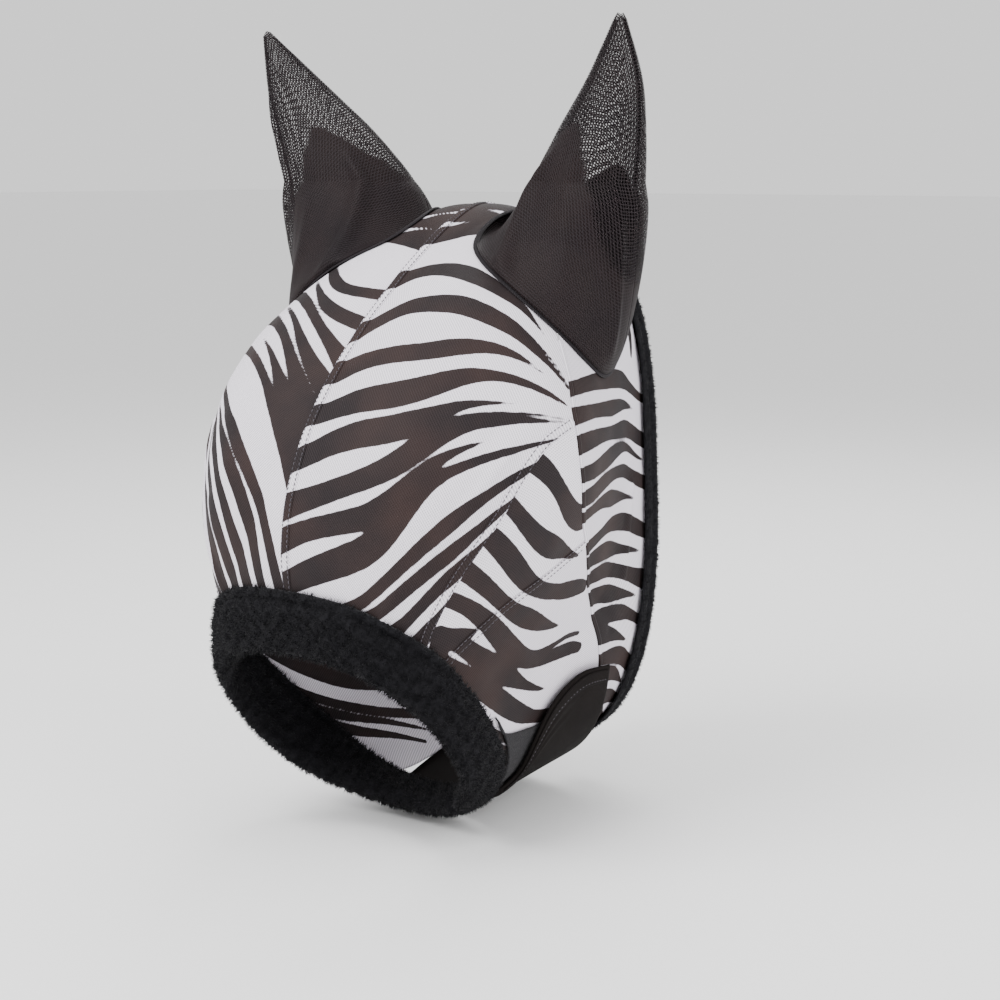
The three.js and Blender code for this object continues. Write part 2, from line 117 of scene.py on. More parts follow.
# ------------------------------------------------------------------------------------- face panels
# Two long panels of printed mesh run from the nose to the poll on both sides of the centre seam. The
# mesh is a coated polyester net, printed in broad dark strokes on white, and each panel is cut and
# stretched over the same head form that every other piece lies on.
RINGS = np.array([
    # u, front y and z, bottom y and z, half width, place of the widest point, squareness front and rear
    (0.0, -202, -284, -66, -440, 102, 0.44, 2.5, 2.1),
    (0.2, -207, -226, -34, -442, 100, 0.40, 2.4, 2.2),
    (0.4, -189, -163, 2, -440, 100, 0.37, 2.3, 2.2),
    (0.6, -140, -98, 38, -436, 104, 0.38, 2.3, 2.2),
    (0.8, -55, -30, 72, -430, 107, 0.42, 2.6, 2.3),
    (0.9, 8, 0, 88, -425, 104, 0.44, 2.9, 2.4),
    (1.0, 78, -22, 102, -418, 99, 0.46, 3.1, 2.5),
])
FORM_U = np.arange(-0.2, 1.2, 0.002)
FORM_W = np.arange(-1.3, 1.3, 0.0025)
EYE_U, EYE_W, EYE_LIFT, EYE_BLUNT, EYE_POWER = 0.66, 0.28, 72, 0.02, 1.35
EYE_TO_NOSE, EYE_TO_NECK, EYE_TO_FACE, EYE_TO_JAW = 0.6, 0.34, 0.28, 0.38


def smooth(knots, values, x):
    """A curve through values at knots: a cubic between each two, with the slope at a knot taken from its
    two neighbours, and straight beyond both ends."""
    knots, values, x = (np.asarray(a, float) for a in (knots, values, x))
    last = len(knots) - 1
    before = np.maximum(np.arange(last + 1) - 1, 0)
    after = np.minimum(np.arange(last + 1) + 1, last)
    slope = (values[after] - values[before]) / (knots[after] - knots[before])
    i = np.clip(np.searchsorted(knots, x, side="right") - 1, 0, last - 1)
    step = knots[i + 1] - knots[i]
    s = np.clip((x - knots[i]) / step, 0, 1)
    start = values[i] * (1 + 2 * s) * (1 - s) ** 2 + slope[i] * step * s * (1 - s) ** 2
    end = values[i + 1] * s * s * (3 - 2 * s) + slope[i + 1] * step * s * s * (s - 1)
    beyond = slope[0] * np.minimum(x - knots[0], 0) + slope[last] * np.maximum(x - knots[last], 0)
    return start + end + beyond


def unit(vectors):
    """Vectors divided by their own lengths."""
    return vectors / np.maximum(np.linalg.norm(vectors, axis=-1, keepdims=True), 1e-12)


def grid_normals(points):
    """Normals of a grid of points: the slope down its rows crossed with the slope along its columns."""
    return unit(np.cross(np.gradient(points, axis=1), np.gradient(points, axis=0)))


def head_form():
    """The head form as a fine grid of points over u and w. A ring at u is half a superellipse from the
    face to the jaw, its power changing at the widest place, walked by its own length as w goes from 0 to 1
    and mirrored for the right side. A blunt cone over each eye, 1 less the root of the squared reaches,
    to a power, is then raised along the normal."""
    angle = np.linspace(0, math.pi, 513)
    at = [smooth(RINGS[:, 0], RINGS[:, k], FORM_U)[:, None] for k in range(1, 9)]
    front_y, front_z, bottom_y, bottom_z, half, widest, front, rear = at
    c, s = np.abs(np.cos(angle))[None], np.abs(np.sin(angle))[None]
    to_face = angle[None] < math.pi / 2
    power = np.where(to_face, 2 / front, 2 / rear)
    along = np.where(to_face, widest * (1 - c**power), widest + (1 - widest) * c**power)
    side = half * s**power
    side[:, [0, -1]] = 0
    rings = np.stack(
        [side, front_y + (bottom_y - front_y) * along, front_z + (bottom_z - front_z) * along], axis=2
    )
    steps = np.linalg.norm(np.diff(rings, axis=1), axis=2)
    walked = np.concatenate([np.zeros((len(FORM_U), 1)), np.cumsum(steps, axis=1)], axis=1)
    signed = (FORM_W + 1) % 2 - 1
    points = np.array([
        [np.interp(np.abs(signed) * walk[-1], walk, ring[:, k]) for k in range(3)]
        for walk, ring in zip(walked, rings)
    ]).transpose(0, 2, 1)
    points[:, :, 0] *= np.sign(signed)
    u, w = FORM_U[:, None], np.abs(signed)[None]
    reach_u = (u - EYE_U) / np.where(u < EYE_U, EYE_TO_NOSE, EYE_TO_NECK)
    reach_w = (w - EYE_W) / np.where(w < EYE_W, EYE_TO_FACE, EYE_TO_JAW)
    rise = np.maximum(0, 1 - np.sqrt(reach_u**2 + reach_w**2 + EYE_BLUNT))
    return points + grid_normals(points) * (EYE_LIFT * rise**EYE_POWER)[:, :, None]


FORM = head_form()
FORM_NORMALS = grid_normals(FORM)


def look_up(table, u, w):
    """The value of a fine grid at any u and w: the four values round it, weighed by nearness."""
    row = (np.asarray(u, float) - FORM_U[0]) / (FORM_U[1] - FORM_U[0])
    column = (np.asarray(w, float) - FORM_W[0]) / (FORM_W[1] - FORM_W[0])
    i = np.clip(row.astype(int), 0, len(FORM_U) - 2)
    j = np.clip(column.astype(int), 0, len(FORM_W) - 2)
    a, b = (row - i)[..., None], (column - j)[..., None]
    near = table[i, j] * (1 - b) + table[i, j + 1] * b
    return near * (1 - a) + (table[i + 1, j] * (1 - b) + table[i + 1, j + 1] * b) * a


def on_head(u, w, height=0.0):
    """A point at a height over the head form, along its normal."""
    return look_up(FORM, u, w) + unit(look_up(FORM_NORMALS, u, w)) * np.asarray(height, float)[..., None]


def lengths(points):
    """The way walked along a row of points, from 0 at the first."""
    steps = np.linalg.norm(np.diff(points, axis=0), axis=-1)
    return np.concatenate([np.zeros((1,) + steps.shape[1:]), np.cumsum(steps, axis=0)])


def path(places):
    """A walk from 0 to 1 through [u, w] places, by their distance on the head."""
    places = np.array(places, float)
    knots = lengths(on_head(places[:, 0], places[:, 1]))
    return lambda s: [smooth(knots / knots[-1], places[:, k], s) for k in (0, 1)]


def line(a, b):
    """A straight walk in u and w."""
    return lambda s: [a[k] + (b[k] - a[k]) * np.asarray(s, float) for k in (0, 1)]


def joined(walks):
    """Walks end to end, each taking its share of the way from 0 to 1."""
    ends = np.cumsum([share for walk, share in walks])

    def whole(s):
        s = np.asarray(s, float)
        found = [s * 0, s * 0]
        for (walk, share), end in zip(walks, ends):
            here = (s >= end - share) & ((s < end) | (end == ends[-1]))
            part = walk((s - end + share) / share)
            found = [np.where(here, part[k], found[k]) for k in (0, 1)]
        return found

    return whole


def patch(low, high, start, end):
    """A place between four edge walks: the sum of the two blends across, less the blend of the corners."""
    def place(s, t):
        found = []
        for k in (0, 1):
            across = (1 - t) * low(s)[k] + t * high(s)[k] + (1 - s) * start(t)[k] + s * end(t)[k]
            near = (1 - t) * low(0.0)[k] + t * high(0.0)[k]
            far = (1 - t) * low(1.0)[k] + t * high(1.0)[k]
            found.append(across - (1 - s) * near - s * far)
        return found

    return place


CHEEK_SEAM = path([[0, 0.32], [0.25, 0.31], [0.45, 0.3], [0.6, 0.28], [0.68, 0.29]])
DART_TOP = [[0.68, 0.29], [0.72, 0.26]]
HOLE_START, HOLE_BACK = 0.42, 1.5
CLOTH_THICK, CLOTH_LIFT = 0.6, 0.5


def ear_hole(half_turns):
    """The edge of the ear hole, an oval in u and w: 0 is its lowest place, 0.5 its front and 1 its top."""
    angle = math.pi * np.asarray(half_turns, float)
    return [0.855 - 0.095 * np.sin(angle), 0.19 + 0.125 * np.cos(angle)]


hole_start, hole_back = ([float(x) for x in ear_hole(h)] for h in (HOLE_START, HOLE_BACK))
CROWN_END = [1, hole_back[1]]
face_edge = joined([
    (CHEEK_SEAM, 0.56),
    (path([*DART_TOP, hole_start]), 0.1),
    (lambda s: ear_hole(HOLE_START + (HOLE_BACK - HOLE_START) * np.asarray(s, float)), 0.29),
    (line(hole_back, CROWN_END), 0.05),
])
FACE_PATCH = patch(line([0, 0], [1, 0]), face_edge, line([0, 0], [0, 0.32]), line([1, 0], CROWN_END))

# The print is drawn in fans. Each fan is two guide lines of [u, w] places, the number of stripes that
# lie between them, how much of the gap is dark, and a seed for how the stripes wander and taper. The
# right panel's places are written as seen in a mirror, since every right piece is made by mirroring.
FACE_FANS = {
    "left": [
        ([[0.03, -0.05], [0.2, 0.17], [0.42, 0.22], [0.63, 0.29]],
         [[0.74, -0.05], [0.79, 0.06], [0.78, 0.16], [0.72, 0.26]], 8, 0.29, 3),
        ([[-0.03, -0.02], [0.1, 0.14], [0.28, 0.215], [0.62, 0.29]],
         [[-0.04, 0.28], [0.1, 0.33], [0.26, 0.34], [0.44, 0.33]], 4, 0.32, 8),
        ([[0.76, -0.06], [0.82, 0.03], [0.82, 0.13]], [[0.9, -0.06], [0.91, 0.04], [0.88, 0.13]], 3, 0.4, 5),
        ([[0.92, -0.06], [0.93, 0.06], [0.95, 0.14]], [[1.03, -0.06], [1.0, 0.08], [1.01, 0.2]], 3, 0.34, 12),
    ],
    "right": [
        ([[0.2, -0.05], [0.4, 0.05], [0.55, 0.13], [0.69, 0.26]],
         [[0.74, -0.05], [0.72, 0.06], [0.78, 0.13], [0.8, 0.16]], 7, 0.29, 4),
        ([[-0.04, -0.02], [0.18, 0.02], [0.38, 0.1], [0.68, 0.26]],
         [[-0.04, 0.33], [0.2, 0.33], [0.4, 0.31], [0.68, 0.29]], 7, 0.34, 6),
        ([[0.76, -0.06], [0.8, 0.04], [0.81, 0.13]], [[0.9, -0.06], [0.9, 0.05], [0.87, 0.13]], 3, 0.4, 9),
        ([[0.92, -0.06], [0.92, 0.06], [0.95, 0.14]], [[1.03, -0.06], [1.0, 0.08], [1.01, 0.2]], 3, 0.34, 13),
    ],
}


def stripe_fan(first, last, count, dark, seed):
    """Stripes of one fan as strokes of [u, w, half width] places. A stripe's middle is a blend of the two
    guides that wanders by a slow sine. Its half width is the gap to the next stripe times the dark share,
    narrowing to a point over its last stretch. In a full fan every second stripe stops early and its
    neighbours swell into the room, and every fourth one forks."""
    draw = np.random.default_rng(seed)
    guides = [path(guide) for guide in (first, last)]
    strokes = []
    for number in range(count):
        early = count > 4 and number % 2 == 1
        begin = draw.uniform(-0.14, -0.02)
        end = draw.uniform(0.68, 0.88) if early else draw.uniform(1.0, 1.14)
        phases = draw.random(2)
        for fork in range(2 if number % 4 == 2 else 1):
            way = np.linspace(0.4 if fork else 0, min(end, 1), 18)
            low, high = (np.stack(guide(way), axis=-1) for guide in guides)
            gap = np.linalg.norm(on_head(*low.T) - on_head(*high.T), axis=-1) / count
            share = (way - begin) / (end - begin)
            swell = 1 + 0.16 * np.sin(2 * math.pi * (way * 1.4 + phases[0]))
            opened = 1 if early or count <= 4 else 1 + 0.6 * np.clip((way - 0.7) / 0.25, 0, 1)
            half = gap * dark * swell * opened * np.clip((1 - share) / 0.4, 0, 1) ** 0.7
            leave = fork * 0.46 * np.clip((way - 0.4) / 0.5, 0, 1)
            wander = 0.1 * np.sin(2 * math.pi * (way * 1.2 + phases[1]))
            at = ((number + 0.5 + wander + leave) / count)[:, None]
            strokes.append(np.column_stack([low * (1 - at) + high * at, half * (0.4 if fork else 1)]))
    return strokes


def stripes(fans):
    """The strokes of several fans."""
    return [stroke for fan in fans for stroke in stripe_fan(*fan)]


FACE_STROKES = {side: stripes(fans) for side, fans in FACE_FANS.items()}


def stroke_distance(points, stroke):
    """Millimetres from points to the edge of a brush stroke, less than 0 inside it. The stroke is a row
    of round stamps close together, whose centres and radii run smoothly through its places."""
    stroke = np.array(stroke, float)
    knots = lengths(on_head(stroke[:, 0], stroke[:, 1]))
    fine = np.linspace(0, knots[-1], max(4, int(knots[-1] / 1.5)))
    u, w, radius = (smooth(knots, stroke[:, k], fine) for k in range(3))
    centres = on_head(u, w)
    squared = (points**2).sum(-1)[:, None] - 2 * points @ centres.T + (centres**2).sum(-1)
    return (np.sqrt(np.maximum(squared, 0)) - np.maximum(radius, 0.2)).min(axis=1)


def print_field(points, strokes, softness=1.2):
    """Millimetres to the nearest dark edge, less than 0 in the dark: a soft least of all the strokes'
    distances, so that strokes which meet run together with round corners."""
    flat = points.reshape(-1, 3)
    total = sum(np.exp(-np.clip(stroke_distance(flat, one), -25, 40) / softness) for one in strokes)
    return (-softness * np.log(total + 1e-12)).reshape(points.shape[:-1])


def make_mesh(name, vertices, faces, finish, uv=None, fields=None):
    """A smooth-shaded mesh object from millimetre vertices and rows of vertex numbers."""
    mesh = bpy.data.meshes.new(name)
    mesh.from_pydata((vertices.reshape(-1, 3) / 1000).tolist(), [], faces.tolist(), shade_flat=False)
    if uv is not None:
        corner = np.zeros(len(mesh.loops), np.int32)
        mesh.loops.foreach_get("vertex_index", corner)
        mesh.uv_layers.new(name="cloth").data.foreach_set("uv", uv.reshape(-1, 2)[corner].ravel())
    for key, values in (fields or {}).items():
        field = mesh.attributes.new(key, "FLOAT", "POINT")
        field.data.foreach_set("value", values.ravel().astype(np.float32))
    mesh.materials.append(finish)
    mesh.validate()
    piece = bpy.data.objects.new(name, mesh)
    bpy.context.scene.collection.objects.link(piece)
    return piece


def quad_grid(rows, columns, closed=False, flip=False):
    """Corner numbers of the quads of a grid, whose columns run round and meet where it is closed."""
    i, j = np.meshgrid(np.arange(rows - 1), np.arange(columns if closed else columns - 1), indexing="ij")
    after = (j + 1) % columns
    corners = [i * columns + j, i * columns + after, (i + 1) * columns + after, (i + 1) * columns + j]
    return np.stack(corners[::-1] if flip else corners, axis=-1).reshape(-1, 4)


def thicken(piece, thickness):
    """Gives a sheet its thickness, half to each side, with a rim round its edge."""
    solid = piece.modifiers.new("thickness", "SOLIDIFY")
    solid.thickness = thickness / 1000
    solid.offset = 0


def cloth_uv(points):
    """The cloth's own coordinates in millimetres: the way walked down the columns and along the rows."""
    return np.stack([lengths(points), lengths(points.transpose(1, 0, 2)).T], axis=-1)


def sheet_piece(name, points, outward, finish, thickness, mirror=False, fields=None):
    """A sheet of cloth from a grid of points, turned so that its faces look the way of outward."""
    uv = cloth_uv(points)
    flip = (grid_normals(points) * outward).sum() < 0
    if mirror:
        points = points * (-1, 1, 1)
        flip = not flip
    piece = make_mesh(name, points, quad_grid(*points.shape[:2], flip=flip), finish, uv, fields)
    thicken(piece, thickness)
    return piece


# Soft folds that stand in the stretched cloth: places, height and half width in millimetres.
CREASES = [
    ([(0.55, 0.26, 0), (0.35, 0.26, 0), (0.1, 0.22, 0)], 2.2, 4.5),
    ([(0.6, 0.24, 0), (0.36, 0.21, 0)], -1.2, 7),
    ([(0.93, 0.5, 0), (0.88, 0.63, 0)], 2.0, 4.0),
    ([(0.72, 0.56, 0), (0.83, 0.69, 0)], -1.6, 6),
    ([(0.3, 0.42, 0), (0.5, 0.64, 0)], 1.2, 10),
]
WAVES = [(0.16, 0.05, 0.07, 0.4), (-0.06, 0.13, 0.05, 1.9), (0.05, -0.08, 0.15, 3.1), (0.11, 0.12, -0.1, 5.0)]


def relief(points):
    """How far the cloth stands off the form: rounded ridges along the creases, and long low waves."""
    flat = points.reshape(-1, 3)
    height = sum(0.16 * np.sin(flat @ np.array(wave[:3]) + wave[3]) for wave in WAVES)
    for places, rise, half in CREASES:
        height = height + rise * np.exp(-((stroke_distance(flat, places) / half) ** 2))
    return height.reshape(points.shape[:-1])


class Value:
    """A shader socket that arithmetic can be written on: each operator puts in one Math node."""

    def __init__(self, finish, socket):
        self.finish, self.socket = finish, socket

    def __add__(self, other):
        return self.finish.sum_of("ADD", self, other)

    def __sub__(self, other):
        return self.finish.sum_of("SUBTRACT", self, other)

    def __rsub__(self, other):
        return self.finish.sum_of("SUBTRACT", other, self)

    def __mul__(self, other):
        return self.finish.sum_of("MULTIPLY", self, other)

    __radd__, __rmul__ = __add__, __mul__

    def wave(self, pitch):
        """A sine between 0 and 1 that repeats at each pitch."""
        return self.finish.sum_of("SINE", self * (2 * math.pi / pitch)) * 0.5 + 0.5

    def clamped(self):
        return self.finish.add("ShaderNodeClamp", {}, {"Value": self}, "Result")


class Finish:
    """A material being made. add() puts in one node from its type, settings and socket values."""

    def __init__(self, name, roughness):
        self.material = bpy.data.materials.new(name)
        self.material.use_nodes = True
        self.tree = self.material.node_tree
        self.shader = self.tree.nodes["Principled BSDF"]
        self.shader.inputs["Roughness"].default_value = roughness
        self.shader.inputs["Specular IOR Level"].default_value = 0.06

    def add(self, kind, settings, sockets, output=0):
        node = self.tree.nodes.new(kind)
        for key, value in settings.items():
            setattr(node, key, value)
        for key, value in sockets.items():
            self.give(node.inputs[key], value)
        return Value(self, node.outputs[output])

    def give(self, socket, value):
        if isinstance(value, Value):
            self.tree.links.new(value.socket, socket)
        else:
            socket.default_value = value

    def sum_of(self, operation, *values):
        return self.add("ShaderNodeMath", {"operation": operation}, dict(enumerate(values)))

    def mix(self, factor, a, b, blend="MIX"):
        """The colour a turned to the colour b by a factor."""
        a, b = (value if isinstance(value, Value) else (*value, 1) for value in (a, b))
        settings = {"data_type": "RGBA", "blend_type": blend}
        return self.add("ShaderNodeMix", settings, {0: factor, 6: a, 7: b}, 2)

    def noise(self, scale, detail=2.0):
        """Noise between 0 and 1 over the piece, with its scale in patches to the metre."""
        place = self.add("ShaderNodeTexCoord", {}, {}, "Object")
        return self.add("ShaderNodeTexNoise", {}, {"Vector": place, "Scale": scale, "Detail": detail}, 0)

    def cloth(self):
        """The two coordinates of the cloth in millimetres."""
        place = self.add("ShaderNodeUVMap", {"uv_map": "cloth"}, {})
        split = self.add("ShaderNodeSeparateXYZ", {}, {0: place}, "X")
        return split, Value(self, split.socket.node.outputs["Y"])

    def field(self, name):
        return self.add("ShaderNodeAttribute", {"attribute_name": name}, {}, "Fac")

    def bump(self, height, distance, strength=1.0):
        """Raises the surface by a height from 0 to 1, times a distance in millimetres."""
        sockets = {"Height": height, "Distance": distance / 1000, "Strength": strength}
        self.give(self.shader.inputs["Normal"], self.add("ShaderNodeBump", {}, sockets))

    def set(self, **sockets):
        for key, value in sockets.items():
            self.give(self.shader.inputs[key.replace("_", " ")], value)


WHITE, WHITE_SHADE = (0.9, 0.86, 0.92), (0.82, 0.78, 0.85)
# The second dark colour is painted light: the print made browner where light shows through the thin net.
DARK, DARK_LIT_THROUGH = (0.011, 0.009, 0.0095), (0.028, 0.017, 0.015)


def printed_finish(name, weave):
    """Printed net. The weave says how open the net is over the cloth, from 0 on a thread to 1 in a hole:
    diagonal rows on the face, dots beside the eye, and fine level rows on the jaw and cheek."""
    finish = Finish(name, 0.6)
    x, y = finish.cloth()
    if weave == "diagonal":
        hole = (x + y).wave(2.5) * ((x - y).wave(1.8) * 0.55 + 0.45)
    elif weave == "dots":
        hole = x.wave(1.7) * (y + x.wave(3.4) * 0.4).wave(1.9)
    else:
        hole = y.wave(1.9) * (x.wave(1.5) * 0.35 + 0.65)
    edge = finish.field("print") + finish.noise(170.0, 2.0) * 0.9 - 0.45
    dark = (0.5 - edge * 1.8).clamped()
    cloudy = finish.noise(16.0, 3.0)
    # Painted light: a noise mask turns the dark print browner in patches, where light shows through the thin
    # net.
    lit_through = ((cloudy - 0.38) * 3.0).clamped()
    white = finish.mix(cloudy, WHITE, WHITE_SHADE)
    # Painted shade: the holes of the white net are greyed, standing in for the shaded inside of the mask seen
    # through them.
    white = finish.mix(hole * 0.75, white, (0.3, 0.27, 0.32))
    black = finish.mix(lit_through, DARK, DARK_LIT_THROUGH)
    # Painted highlight: the threads of the dark print are lighter than the holes between them.
    black = finish.mix((1 - hole) * 0.2, black, (0.085, 0.068, 0.072))
    finish.set(Base_Color=finish.mix(dark, white, black), Roughness=0.72 - dark * 0.16)
    finish.bump(1 - hole, 0.25, 0.5)
    return finish.material


def printed_panel(name, place, size, finish, strokes, mirror=False):
    """One cut panel on a patch of the form, lifted to lie on the form, with its print painted on it."""
    s, t = np.meshgrid(np.linspace(0.002, 0.998, size[0]), np.linspace(0.004, 0.996, size[1]), indexing="ij")
    u, w = place(s, t)
    bare = on_head(u, w)
    points = on_head(u, w, CLOTH_LIFT + relief(bare))
    outward = look_up(FORM_NORMALS, u, w)
    fields = {"print": print_field(bare, strokes)}
    return sheet_piece(name, points, outward, finish, CLOTH_THICK, mirror, fields)


def shell_cloth(piece, node):
    """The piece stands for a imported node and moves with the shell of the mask."""
    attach(piece, "shell")
    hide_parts(node)


FACE_NET = printed_finish("printed_net_diagonal", "diagonal")
cut_panels = {}
for side in ("left", "right"):
    strokes = FACE_STROKES[side]
    face = printed_panel(f"face_cloth_{side}", FACE_PATCH, (220, 92), FACE_NET, strokes, side == "right")
    shell_cloth(face, f"face_panel_{side}")
    cut_panels[side] = [(face, (0.17, 0.41), 0.0504)]

# -------------------------------------------------------------------------------------- eye panels
# A narrow gusset on each side from the nose edge back to the eye dart, which with the dart lifts the
# net off the eye. Its net is laid the other way, so that it looks dotted.
JAW_SEAM = path([[0, 0.36], [0.25, 0.4], [0.5, 0.44], [0.68, 0.47]])
DART_MIDDLE = [[0.68, 0.29], [0.66, 0.35], [0.66, 0.41], [0.68, 0.47]]
EYE_PATCH = patch(CHEEK_SEAM, JAW_SEAM, line([0, 0.32], [0, 0.36]), path(DART_MIDDLE))
JAW_FANS = [
    ([[0.08, 0.36], [0.22, 0.58], [0.4, 0.73], [0.66, 0.82]],
     [[0.6, 0.24], [0.62, 0.32], [0.66, 0.38], [0.72, 0.42]], 7, 0.28, 14),
    ([[-0.03, 0.36], [0.03, 0.55], [0.15, 0.72], [0.4, 0.88]],
     [[0.08, 0.4], [0.2, 0.62], [0.4, 0.76], [0.66, 0.86]], 3, 0.32, 15),
    ([[0.02, 0.3], [0.18, 0.33], [0.26, 0.36]], [[0.06, 0.36], [0.2, 0.39], [0.28, 0.42]], 1, 0.36, 2),
]
JAW_STROKES = stripes(JAW_FANS)
EYE_NET = printed_finish("printed_net_dotted", "dots")
for side in ("left", "right"):
    gusset = printed_panel(f"eye_cloth_{side}", EYE_PATCH, (130, 34), EYE_NET, JAW_STROKES, side == "right")
    shell_cloth(gusset, f"eye_panel_{side}")
    cut_panels[side].append((gusset, (0.07, 0.25), 0.011))

# -------------------------------------------------------------------------------------- jaw panels
# The lower cheek, from the jaw seam down to the jaw edge. The left one ends high, under the closing
# flap, and the right one runs on under the jaw to the flap's hinge.
DART_LOWER = [[0.68, 0.47], [0.74, 0.62], [0.78, 0.72], [0.8, 0.86]]
JAW_EDGE = {
    "left": [[0, 0.62], [0.1, 0.65], [0.25, 0.72], [0.4, 0.78], [0.55, 0.82], [0.8, 0.86]],
    "right": [[0, 0.86], [0.3, 0.9], [0.8, 0.905]],
}
JAW_NET = printed_finish("printed_net_level", "level")
for side, flat, area in (("left", (0.17, 0.2), 0.0234), ("right", (0.22, 0.2), 0.0301)):
    edge = JAW_EDGE[side]
    lower = path([*DART_LOWER[:-1], edge[-1]])
    place = patch(JAW_SEAM, path(edge), line([0, 0.36], edge[0]), lower)
    jaw = printed_panel(f"jaw_cloth_{side}", place, (118, 84), JAW_NET, JAW_STROKES, side == "right")
    shell_cloth(jaw, f"jaw_panel_{side}")
    cut_panels[side].append((jaw, flat, area))

# ------------------------------------------------------------------------------- rear cheek panels
# The back of each side, from behind the ear round the cheek to the throat, between the dart and the
# fleece of the neck edge.
THROAT_END = 0.945
CHEEK_FANS = [
    ([[0.66, 0.23], [0.8, 0.29], [0.92, 0.34], [1.04, 0.35]],
     [[0.62, 0.42], [0.76, 0.47], [0.9, 0.53], [1.04, 0.54]], 6, 0.34, 17),
    ([[0.6, 0.44], [0.78, 0.49], [0.9, 0.54], [1.04, 0.55]],
     [[0.7, 0.84], [0.84, 0.87], [0.94, 0.9], [1.04, 0.92]], 10, 0.33, 19),
    ([[0.94, 0.16], [0.95, 0.24], [0.93, 0.3]], [[1.02, 0.14], [1.02, 0.24], [1.01, 0.33]], 2, 0.32, 21),
]
CHEEK_STROKES = stripes(CHEEK_FANS)


def whole_dart(foot):
    """The dart from the ear hole down over the eye to a foot on the jaw edge."""
    return path([hole_start, *DART_TOP[::-1], *DART_MIDDLE[1:], *DART_LOWER[1:-1], foot])


hole_turn = HOLE_BACK - 2 - HOLE_START
cheek_top = joined([
    (lambda s: ear_hole(HOLE_START + hole_turn * np.asarray(s, float)), 0.85),
    (line(hole_back, CROWN_END), 0.15),
])
for side, area in (("left", 0.0305), ("right", 0.0323)):
    foot, neck = JAW_EDGE[side][-1], [1, THROAT_END]
    place = patch(whole_dart(foot), line(CROWN_END, neck), cheek_top, line(foot, neck))
    cheek = printed_panel(f"cheek_cloth_{side}", place, (200, 64), JAW_NET, CHEEK_STROKES, side == "right")
    shell_cloth(cheek, f"rear_cheek_panel_{side}")
    cut_panels[side].append((cheek, (0.12, 0.42), area))

# ------------------------------------------------------------------------------------------- seams
# Felled seams of the printed net, laid over each join and sewn down along both sides with a grey
# thread. The one down the middle, the cheek seam and the jaw seam show two rows of stitches.
SEAM_THICK, THREAD_LIFT, GROOVE = 0.5, 1.55, 2.5
SEAM_HALF = [(0, 1.75), (1.9, 1.5), (2.5, 1.1), (3.1, 1.25), (3.6, 0.75)]
SEAM_PROFILE = [(-aside, height) for aside, height in SEAM_HALF[:0:-1]] + SEAM_HALF


def beside(u, w, aside):
    """Places at right angles to a walk. With E, F and G the products of the form's slopes, the way across
    (-(F u' + G w'), E u' + F w') has no product with the way along, and is divided by its own length."""
    d = 0.004
    slope_u = (look_up(FORM, u + d, w) - look_up(FORM, u - d, w)) / (2 * d)
    slope_w = (look_up(FORM, u, w + d) - look_up(FORM, u, w - d)) / (2 * d)
    e, f, g = (slope_u**2).sum(-1), (slope_u * slope_w).sum(-1), (slope_w**2).sum(-1)
    run_u, run_w = np.gradient(u), np.gradient(w)
    a, b = -(f * run_u + g * run_w), e * run_u + f * run_w
    size = np.sqrt(e * a * a + 2 * f * a * b + g * b * b)
    return u[:, None] + (a / size)[:, None] * aside, w[:, None] + (b / size)[:, None] * aside


def stitch_row(name, points, outward, finish, long=2.7, pitch=3.6, radius=0.32):
    """Thread stitches along a row of points. Each is a five-sided tube in five rings whose middle rises
    over the cloth and whose ends dive into it: height is a half sine, less a third."""
    walked = lengths(points)
    starts = np.arange(0.5 * pitch, walked[-1] - pitch, pitch)
    along = starts[:, None] + np.linspace(0, long, 5)[None]
    at = np.stack([np.interp(along, walked, points[:, k]) for k in range(3)], axis=-1)
    up = unit(np.stack([np.interp(along, walked, outward[:, k]) for k in range(3)], axis=-1))
    run = unit(at[:, -1:] - at[:, :1])
    across = unit(np.cross(np.broadcast_to(run, up.shape), up))
    lift = radius * (1.9 * np.sin(np.linspace(0, math.pi, 5)) - 0.9)
    turn = np.linspace(0, 2 * math.pi, 6)[:-1]
    thick = radius * np.array([0.5, 0.9, 1, 0.9, 0.5])
    level, upright = np.cos(turn)[None, None, :, None], np.sin(turn)[None, None, :, None]
    ring = across[:, :, None] * level + up[:, :, None] * upright
    points = at[:, :, None] + up[:, :, None] * lift[None, :, None, None] + ring * thick[None, :, None, None]
    one = quad_grid(5, 5, closed=True, flip=True)
    faces = (one[None] + (np.arange(len(starts)) * 25)[:, None, None]).reshape(-1, 4)
    return make_mesh(name, points, faces, finish)


thread = Finish("grey_thread", 0.7)
twist = thread.noise(900.0, 1.0)
thread.set(Base_Color=thread.mix(twist, (0.06, 0.055, 0.065), (0.13, 0.12, 0.135)))
THREAD = thread.material


def seam_band(name, walk, reach, count, strokes, finish, profile, mirror=False, rows=(-GROOVE, GROOVE)):
    """A felled seam: a raised band on the form along a walk, with a row of stitches in each groove."""
    s = np.linspace(*reach, count)
    u, w = (np.asarray(a, float) for a in walk(s))
    aside, height = np.array(profile).T
    fine = np.linspace(aside[0], aside[-1], 17)
    side_u, side_w = beside(u, w, fine)
    bare = on_head(side_u, side_w)
    points = on_head(side_u, side_w, relief(bare) + smooth(aside, height, fine)[None])
    outward = look_up(FORM_NORMALS, side_u, side_w)
    fields = {"print": print_field(bare, strokes)}
    band = sheet_piece(name, points, outward, finish, SEAM_THICK, mirror, fields)
    sewn = []
    for number, row in enumerate(rows):
        row_u, row_w = (a[:, 0] for a in beside(u, w, np.array([row])))
        centre = on_head(row_u, row_w, relief(on_head(row_u, row_w)) + THREAD_LIFT)
        facing = look_up(FORM_NORMALS, row_u, row_w)
        if mirror:
            centre, facing = centre * (-1, 1, 1), facing * (-1, 1, 1)
        stitches = stitch_row(f"{name}_stitches_{number + 1}", centre, facing, THREAD)
        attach(stitches, "shell")
        sewn.append(stitches)
    return [band, *sewn]


